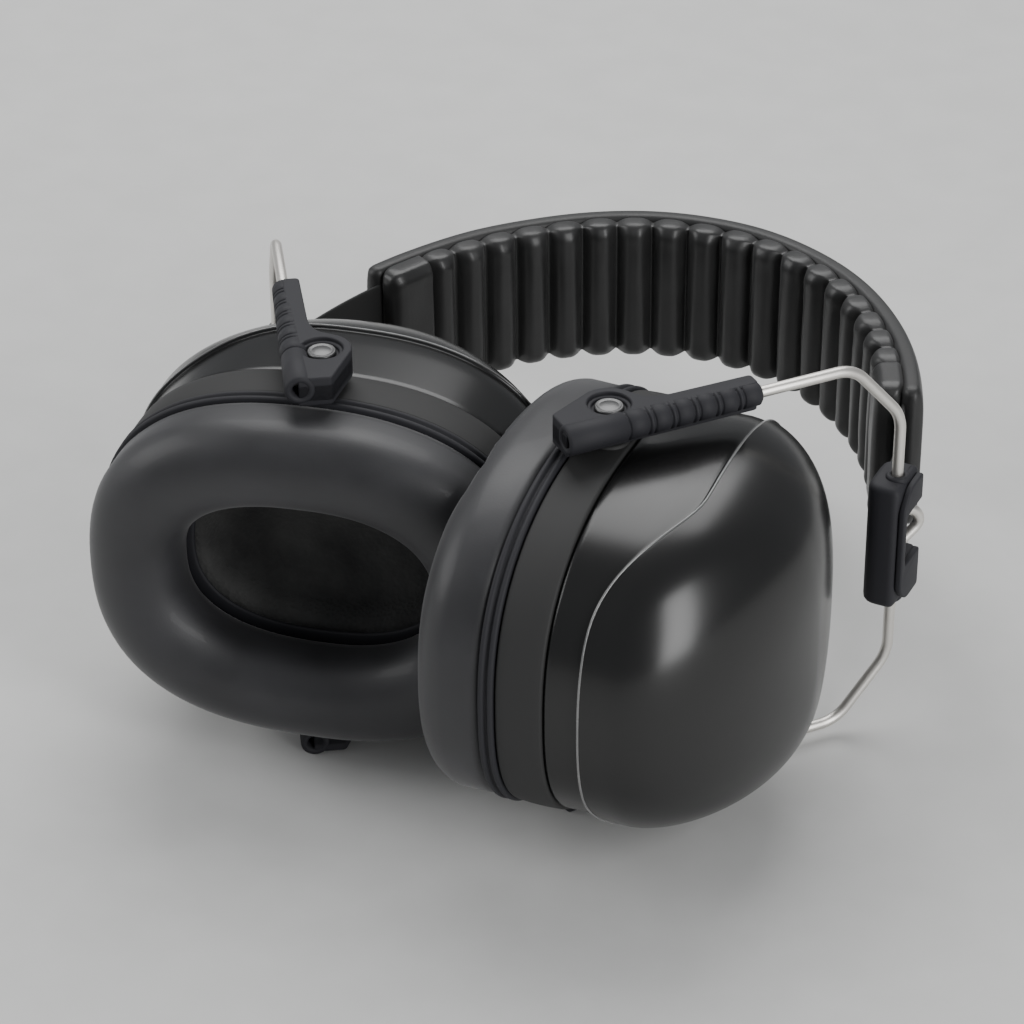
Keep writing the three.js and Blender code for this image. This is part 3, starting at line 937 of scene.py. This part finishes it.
@dataclass
class SlideArm:
    """A slide arm: a grooved tube round the wire, with a lobe that takes the pin.

    Attributes:
        station: Its side.
        end: Which end of the pivot axis it sits at.
        tip: The open end of the tube.
        stop: The wire end of the tube.
        offset: Distance of the wire from the pin.
        wire_height: Height of the wire.
        low: Underside of the lobe.
        high: Top of the lobe.
        wide: Radius of the tube at its open end.
        taper: How much thinner the other end is.
        notches: Number of grip grooves; all but the first are double.
        notch_pitch: Distance between them.
    """

    station: Station
    end: End
    tip: float = -14.6
    stop: float = 36.2
    offset: float = 6.4
    wire_height: float = 51.2
    low: float = 46.7
    high: float = 54.3
    wide: float = 3.7
    taper: float = 0.75
    notches: int = 6
    notch_pitch: float = 5.9

    @property
    def place(self) -> Matrix:
        """The arm's frame.

        Returns:
            The placing matrix, turned over for the lower end.
        """
        if self.end is End.UPPER:
            return self.station.arm_place
        return self.station.arm_place @ Matrix.Diagonal((1, 1, -1, 1))

    def radius(self, along: float) -> float:
        """Outer radius of the tube at a place along it."""
        return self.wide - self.taper * (along - self.tip) / (self.stop - self.tip)

    def tube(self) -> bpy.types.Object:
        """Turns the tube with its grip grooves and its open bore.

        Returns:
            The tube.
        """
        profile = [(0, self.tip + 7), (1.7, self.tip + 7), (1.9, self.tip + 0.5),
                   (2.4, self.tip), (self.radius(self.tip) - 0.5, self.tip),
                   (self.radius(self.tip), self.tip + 0.5)]
        for i in range(self.notches):
            for shift in ((0.0,) if i == 0 else (-0.75, 0.75)):
                place = 0.9 + self.notch_pitch * i + shift
                wall = self.radius(place)
                profile += [(wall, place - 0.45), (wall - 0.22, place - 0.3), (wall - 0.5, place - 0.1),
                            (wall - 0.5, place + 0.1), (wall - 0.22, place + 0.3), (wall, place + 0.45)]
        wall = self.radius(self.stop)
        profile += [(wall, self.stop - 0.6), (wall - 0.6, self.stop), (1.75, self.stop),
                    (1.7, self.stop - 4), (0, self.stop - 4)]
        return lathe("tube", profile, (self.offset, 0, self.wire_height), "y", self.place, 48)

    def lobe_outline(self) -> list[Pair]:
        """The lobe and web seen along the pivot axis.

        Returns:
            The rounded outline.
        """
        arc = [(7.3 * math.cos(math.radians(a)), 7.3 * math.sin(math.radians(a)))
               for a in range(118, 206, 8)]
        outline = [(self.offset + 0.4, self.tip + 0.3), (self.offset + 0.4, self.stop - 0.2),
                   (self.offset - 3.9, self.stop - 0.2), (self.offset - 4.3, 13.0), (0.4, 8.6), *arc,
                   (-1.2, self.tip + 0.3)]
        return round_corners(outline, (0.4, 1.2, 1.2, 4, 3, *([1] * len(arc)), 0.8), 4)

    def build(self) -> None:
        """Builds the arm and its pin."""
        side, end = self.station.hand.value, self.station.end_name(self.end)
        outline = self.lobe_outline()
        lower = slab("lobe", [outline, circle(0, 0, 1.9)], self.low, self.high - 1.7, 0.5, self.place)
        upper = slab("lobe_rim", [outline, circle(0, 0, 5.2)], self.low + 1, self.high, 0.45, self.place)
        ledge = lathe("ledge", [(5.5, 50.9), (5.5, 53.1), (5.1, 53.4), (4.5, 53.4), (4.2, 53.1),
                                (4.2, 50.9)], (0, 0, 0), "z", self.place)
        arm = join(f"grip_arm_{end}_{side}", [lower, upper, ledge, self.tube()])
        finish_piece(arm, f"arms_{side}", SATIN_PLASTIC, f"slide_arm_{end}_{side}")
        self.pin(side, end)
        MATT_BAND.dress(bpy.data.objects[f"pivot_washer_{end}_{side}"])

    def pin(self, side: str, end: str) -> None:
        """Builds the pin with its shallow domed head.

        Args:
            side: The wearer's side.
            end: The end that it lies at.
        """
        profile = [(0, 38.6), (1.3, 38.6), (1.6, 38.9), (1.6, 51.3), (3.2, 51.3), (3.5, 51.7),
                   (3.55, 53.3), (3.3, 53.7), (2.9, 53.7), (2.65, 53.45), (2.2, 53.62), (1.2, 53.85),
                   (0, 53.92)]
        head = lathe(f"domed_pin_{end}_{side}", profile, (0, 0, 0), "z", self.place)
        finish_piece(head, f"arms_{side}", PIN_STEEL, f"pivot_pin_{end}_{side}")


# ---- ear cups ----


@dataclass
class EarCup:
    """One ear cup: shell, ring band, cushion plate, cushion and foam liner.

    Attributes:
        station: Its side.
        half_length: Half length of the outline.
        half_width: Half width of the outline.
        squareness: Exponent of the outline.
        length_power: Exponent of the dome seen along the pivot axis.
        width_power: Exponent of the dome seen along the cup.
        seam: Where the shell starts, outward from the pin.
        straight: Length of the shell's straight wall.
        dome: Rise of the dome above it.
        step: How far the raised panel stands out.
        sides: Number of points round the cup.
    """

    station: Station
    half_length: float = 55.0
    half_width: float = 44.4
    squareness: float = 2.46
    length_power: float = 1.72
    width_power: float = 4.3
    seam: float = 5.9
    straight: float = 16.1
    dome: float = 31.5
    step: float = 0.8
    sides: int = 144

    @property
    def body(self) -> str:
        """The body that the cup's pieces ride on."""
        return f"cup_{self.station.hand.value}"

    def oval(self, outward: float, inset: float) -> list[Point]:
        """One ring of the cup's outline.

        Args:
            outward: Its distance outward.
            inset: How far it lies inside the outline.

        Returns:
            The ring's points.
        """
        ring = []
        for i in range(self.sides):
            angle = 2 * math.pi * i / self.sides
            c, s = math.cos(angle), math.sin(angle)
            reach = (abs(c) ** self.squareness + abs(s) ** self.squareness) ** (-1 / self.squareness)
            ring.append((outward, (self.half_length - inset) * c * reach,
                         (self.half_width - inset) * s * reach))
        return ring

    def band(self, name: str, section: Sequence[Pair]) -> bpy.types.Object:
        """Carries a closed section round the cup.

        Args:
            name: Name of the piece.
            section: (outward, inset) pairs.

        Returns:
            The ring-shaped piece.
        """
        rings = [self.oval(outward, inset) for outward, inset in section]
        return mesh_piece(name, *skin(rings, round_trip=True), self.station.cup_place)

    def panel_edge(self, along: float) -> float:
        """Height of the panel's edge: low at the chin end, rising in an S to the sides.

        Args:
            along: Distance towards the crown end.

        Returns:
            Distance outward.
        """
        share = min(max((along + 52) / 38, 0.0), 1.0)
        rise = share * share * (3 - 2 * share)
        fall = 2.2 * min(max((along + 10) / 60, 0.0), 1.0)
        return 14.7 + 14.9 * rise - fall

    def shell_ring(self, level: float, lift: float) -> list[Point]:
        """One ring of the shell.

        Args:
            level: 0 at the seam, 1 at the panel's edge, 2 at the top of the dome.
            lift: How far the ring stands out of the plain surface.

        Returns:
            The ring's points.
        """
        top = self.seam + self.straight + self.dome
        ring = []
        for _, y, z in self.oval(0, 0):
            c, s = y / self.half_length, z / self.half_width
            edge = self.panel_edge(y)
            if level <= 1:
                outward = self.seam + (edge - self.seam) * level
            else:
                outward = edge + (top - edge) * math.sin((level - 1) * math.pi / 2)
            rise = min(max((outward - self.seam - self.straight) / self.dome, 0.0), 1.0)
            across = 1 - rise ** self.length_power
            ring.append((outward, (self.half_length + lift) * c * across ** (1 / self.length_power),
                         (self.half_width + lift) * s * across ** (1 / self.width_power)))
        return ring

    def shell(self) -> None:
        """Builds the glossy shell with its raised panel."""
        side = self.station.hand.value
        low = -self.step
        rings = [self.shell_ring(0, low - 2.5), self.shell_ring(0, low - 0.35),
                 self.shell_ring(0.035, low)]
        rings += [self.shell_ring(0.1 + 0.82 * i / 10, low) for i in range(11)]
        rings += [self.shell_ring(level, lift) for level, lift in
                  ((0.955, low), (0.972, low + 0.12), (0.984, low + 0.5), (0.994, -0.06), (1.003, 0.0),
                   (1.012, 0.02), (1.03, 0))]
        rings += [self.shell_ring(1.03 + 0.965 * (1 - (1 - i / 40) ** 1.25), 0) for i in range(1, 41)]
        top = self.seam + self.straight + self.dome
        points, faces = skin(rings, end=(top, 0, 0))
        shell = mesh_piece(f"gloss_shell_{side}", points, faces, self.station.cup_place)
        finish_piece(shell, self.body, GLOSS_SHELL, f"cup_shell_{side}")
        self.painted_highlight_bead(side)

    def painted_highlight_bead(self, side: str) -> None:
        """Builds the thin bead along the panel's edge, coloured light grey as a painted highlight line.

        Args:
            side: The wearer's side.
        """
        line = [Vector(p) for p in self.shell_ring(0.999, 0.02)]
        rings = []
        for i, point in enumerate(line):
            along = (line[(i + 1) % self.sides] - line[i - 1]).normalized()
            across = along.cross(Vector((1, 0, 0))).normalized()
            other = across.cross(along)
            rings.append([point + (across * math.cos(t) + other * math.sin(t)) * 0.3
                          for t in (2 * math.pi * k / 8 for k in range(8))])
        bead = mesh_piece(f"panel_highlight_bead_{side}", *skin(rings, round_trip=True), self.station.cup_place)
        # The bead's light grey finish paints the highlight line along the panel's edge.
        finish_piece(bead, self.body, PAINTED_HIGHLIGHT_EDGE)

    def ring_band(self) -> None:
        """Builds the matt band between shell and cushion plate."""
        side = self.station.hand.value
        section = [(-5.9, 2.5), (-5.9, 0.5), (-5.65, 0.12), (-5.2, 0.0), (-2.5, -0.12), (0, -0.15),
                   (2.5, -0.08), (5.0, 0.08), (5.4, 0.25), (5.55, 0.7), (5.55, 2.5)]
        parts = [self.band("band", section)]
        for end in (1, -1):
            profile = [(2.1, 41), (2.1, 45.2), (4.6, 45.2), (5.0, 44.8), (5.4, 41)]
            parts.append(lathe("boss", [(r, end * z) for r, z in profile], (0, 0, 0), "z",
                               self.station.cup_place))
        finish_piece(join(f"matt_ring_{side}", parts), self.body, MATT_BAND, f"cup_ring_{side}")
        core = self.band(f"seam_core_{side}", [(-10.2, 2.0), (-10.2, 4), (6.1, 4), (6.1, 2.0)])
        finish_piece(core, self.body, MATT_BAND)

    def cushion_plate(self) -> None:
        """Builds the plate with the two thin ribs round its edge."""
        side = self.station.hand.value
        section = [(-10.1, 17), (-10.1, 0.0), (-9.95, -0.35), (-9.6, -0.6), (-9.1, -0.6), (-8.8, -0.35),
                   (-8.6, 0.1), (-8.2, 0.35), (-7.8, 0.1), (-7.6, -0.35), (-7.3, -0.6), (-6.8, -0.6),
                   (-6.45, -0.35), (-6.3, 0.0), (-6.3, 17)]
        finish_piece(self.band(f"ribbed_plate_{side}", section), self.body, SATIN_PLASTIC,
                     f"cushion_plate_{side}")

    def cushion(self) -> None:
        """Builds the soft ring."""
        side = self.station.hand.value
        section = [(-10.2, 19.4), (-10.2, 14), (-10.2, 8), (-10.2, 1.2), (-10.5, 0.5), (-12.5, 0.05)]
        section += [(-17.8 - 11.2 * math.cos(t) ** 0.92, 11.4 + 11.6 * math.sin(t))
                    for t in (math.pi * (i / 26 - 0.5) for i in range(1, 26))]
        section += [(-15.4, 22.9), (-13.0, 22.3), (-10.9, 20.9)]
        piece = self.band(f"soft_cushion_{side}", section)
        stir(piece, 38, 0.2)
        finish_piece(piece, self.body, CUSHION_VINYL, f"ear_cushion_{side}")

    def liner(self) -> None:
        """Builds the foam liner and the thin frame in front of it."""
        side = self.station.hand.value
        rings = [self.oval(8, 9), self.oval(-3.8, 9.5), self.oval(-5.2, 12), self.oval(-5.6, 20),
                 self.oval(-5.2, 23), self.oval(-3.4, 24.4), self.oval(0.2, 25.6), self.oval(1.6, 26.6),
                 self.oval(2.1, 28.2)]
        rings += [self.oval(2.1 + 1.6 * k / 6, 28.2 + 2.3 * k) for k in range(1, 7)]
        points, faces = skin(rings, end=(3.8, 0, 0))
        foam = mesh_piece(f"dished_foam_{side}", points, faces, self.station.cup_place)
        stir(foam, 160, 0.4)
        finish_piece(foam, self.body, LINER_FOAM, f"foam_liner_{side}")
        lip = self.band(f"liner_lip_{side}", [(-8.6, 17.4), (-9.0, 17.9), (-9.0, 22.2), (-8.85, 22.7),
                                              (-8.4, 23.0), (-7.9, 22.7), (-7.6, 22.0), (-7.6, 17.4)])
        finish_piece(lip, self.body, SATIN_PLASTIC, f"liner_frame_{side}")

    def build(self) -> None:
        """Builds the whole cup."""
        self.shell()
        self.ring_band()
        self.cushion_plate()
        self.liner()
        self.cushion()


@dataclass
class Dent:
    """The hollow that one cup's end keeps in the other cup's cushion.

    Attributes:
        cup: The cup whose cushion gives.
        ring_front: Front of the firm inner ring, which doesn't give.
        ring_inset: Inner edge of the firm ring.
        floor: The deepest place that the cushion can be pressed to.
        room: Free depth that is left in front of the pressing end.
        spread: Free width that is left round the pressing end.
        turns: Number of smoothing turns.
    """

    cup: EarCup
    ring_front: float = -24.6
    ring_inset: float = 13.0
    floor: float = -10.7
    room: float = 3.5
    spread: float = 7.0
    turns: int = 6

    def inset_of(self, y: float, z: float) -> float:
        """How far a point lies inside the cup's outline.

        Args:
            y: Its distance towards the crown end.
            z: Its height.

        Returns:
            The inset, in millimetres.
        """
        low, high = -3.0, 40.0
        for _ in range(14):
            middle = (low + high) / 2
            reach = (abs(y) / (self.cup.half_length - middle)) ** self.cup.squareness
            reach += (abs(z) / (self.cup.half_width - middle)) ** self.cup.squareness
            low, high = (low, middle) if reach > 1 else (middle, high)
        return low

    def depth_at(self, trees: Sequence[BVHTree], y: float, z: float) -> float | None:
        """How deep the pressing pieces reach near a point.

        Args:
            trees: The pressing pieces.
            y: Distance towards the crown end.
            z: Height.

        Returns:
            The deepest place, or nothing where no piece presses.
        """
        place = self.cup.station.cup_place
        inverse = place.inverted()
        depths = []
        for k in range(9):
            reach = self.spread if k else 0.0
            side = Vector((20, y + reach * math.cos(k * math.pi / 4), z + reach * math.sin(k * math.pi / 4)))
            for tree in trees:
                hit = tree.ray_cast(place @ (side * MM), -self.cup.station.outward, 0.07)[0]
                if hit is not None:
                    depths.append((inverse @ hit).x / MM)
        return max(depths) if depths else None

    def press(self, soft: bpy.types.Object, hard: Sequence[bpy.types.Object]) -> None:
        """Presses the hollow into the cushion.

        Args:
            soft: The cushion.
            hard: The pieces that press.
        """
        graph = bpy.context.evaluated_depsgraph_get()
        trees = [BVHTree.FromObject(piece, graph) for piece in hard]
        place = self.cup.station.cup_place
        inverse = place.inverted()
        body = bmesh.new()
        body.from_mesh(soft.data)
        body.verts.ensure_lookup_table()
        limits = {}
        for vertex in body.verts:
            local = inverse @ vertex.co / MM
            depth = self.depth_at(trees, local.y, local.z)
            if depth is not None:
                inner = self.inset_of(local.y, local.z) > self.ring_inset
                limits[vertex] = min(depth + self.room, self.floor if inner else self.ring_front)
        for turn in range(self.turns + 1):
            moved = set()
            for vertex, limit in limits.items():
                local = inverse @ vertex.co
                if local.x < limit * MM:
                    local.x = limit * MM
                    vertex.co = place @ local
                    moved.add(vertex)
            if turn < self.turns:
                near = {v for m in moved for e in m.link_edges for v in e.verts}
                bmesh.ops.smooth_vert(body, verts=list(near), factor=0.5, use_axis_x=True,
                                      use_axis_y=True, use_axis_z=True)
        body.to_mesh(soft.data)
        body.free()
        LOG.info("%s is dented at %d points", soft.name, len(moved))


# ---- studio ----


@dataclass
class Studio:
    """Floor, lights and camera.

    Attributes:
        middle: Point midway between the two wire axes, in metres.
    """

    middle: Vector

    def floor(self) -> None:
        """Lays a plain pale floor."""
        corners = [(x, y, 0.0) for x, y in ((-3000, -3000), (3000, -3000), (3000, 3000), (-3000, 3000))]
        floor = mesh_piece("floor", corners, [(0, 1, 2, 3)], Matrix.Identity(4))
        floor.data.materials.append(FLOOR_PAPER.material())

    def lamp(self, name: str, place: Point, target: Point, size: Pair, power: float) -> None:
        """Adds a soft rectangular light.

        Args:
            name: Its name.
            place: Where it stands, in metres.
            target: The point that it faces.
            size: Its width and height in metres.
            power: Its power in watts.
        """
        light = bpy.data.lights.new(name, "AREA")
        light.shape = "RECTANGLE"
        light.size, light.size_y = size
        light.energy = power
        holder = bpy.data.objects.new(name, light)
        holder.location = place
        aim = Vector(target) - Vector(place)
        holder.rotation_euler = aim.to_track_quat("-Z", "Y").to_euler()
        bpy.context.collection.objects.link(holder)

    def camera(self) -> None:
        """Sets the camera, high in front of the cups and looking down."""
        lens = bpy.data.cameras.new("camera")
        lens.sensor_width = 36
        lens.lens = 125.2
        lens.clip_end = 20
        holder = bpy.data.objects.new("camera", lens)
        place = self.middle + Vector((0.3239, -0.7081, 0.4750))
        target = self.middle + Vector((-0.0415, 0.0479, -0.0544))
        turn = (target - place).to_track_quat("-Z", "Y").to_matrix().to_4x4()
        roll = Matrix.Rotation(math.radians(-0.44), 4, "Z")
        holder.matrix_world = Matrix.Translation(place) @ turn @ roll
        bpy.context.collection.objects.link(holder)
        bpy.context.scene.camera = holder

    def build(self) -> None:
        """Builds the studio."""
        self.floor()
        self.camera()
        self.lamp("overhead", (-0.25, 0.55, 1.1), (0, 0, 0.03), (1.1, 0.9), 14)
        self.lamp("front_strip", (1.0, -0.5, 0.55), (0.05, -0.05, 0.35), (0.4, 1.1), 11)
        self.lamp("left_fill", (-1.1, -0.5, 0.7), (0, 0, 0.05), (0.9, 0.7), 7)
        world = bpy.data.worlds.new("world")
        world.use_nodes = True
        world.node_tree.nodes["Background"].inputs["Color"].default_value = (0.8, 0.82, 0.85, 1)
        world.node_tree.nodes["Background"].inputs["Strength"].default_value = 0.35
        bpy.context.scene.world = world


def main() -> None:
    """Builds the earmuff on its frame."""
    logging.basicConfig(level=logging.INFO)
    noise.seed_set(STIR_SEED)
    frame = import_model()
    stations = {hand: Station.read(frame, hand) for hand in Hand}
    middle = (stations[Hand.LEFT].block + stations[Hand.RIGHT].block) / 2
    Studio(middle).build()
    Headband(middle).build()
    cups = {}
    for hand, station in stations.items():
        EndBlock(station).build()
        WireYoke(station).build()
        for end in End:
            SlideArm(station, end).build()
        cups[hand] = EarCup(station)
        cups[hand].build()
    pressing = [bpy.data.objects[f"{name}_left"] for name in
                ("gloss_shell", "panel_highlight_bead", "matt_ring", "ribbed_plate", "soft_cushion")]
    Dent(cups[Hand.RIGHT]).press(bpy.data.objects["soft_cushion_right"], pressing)


if __name__ == "__main__":
    main()
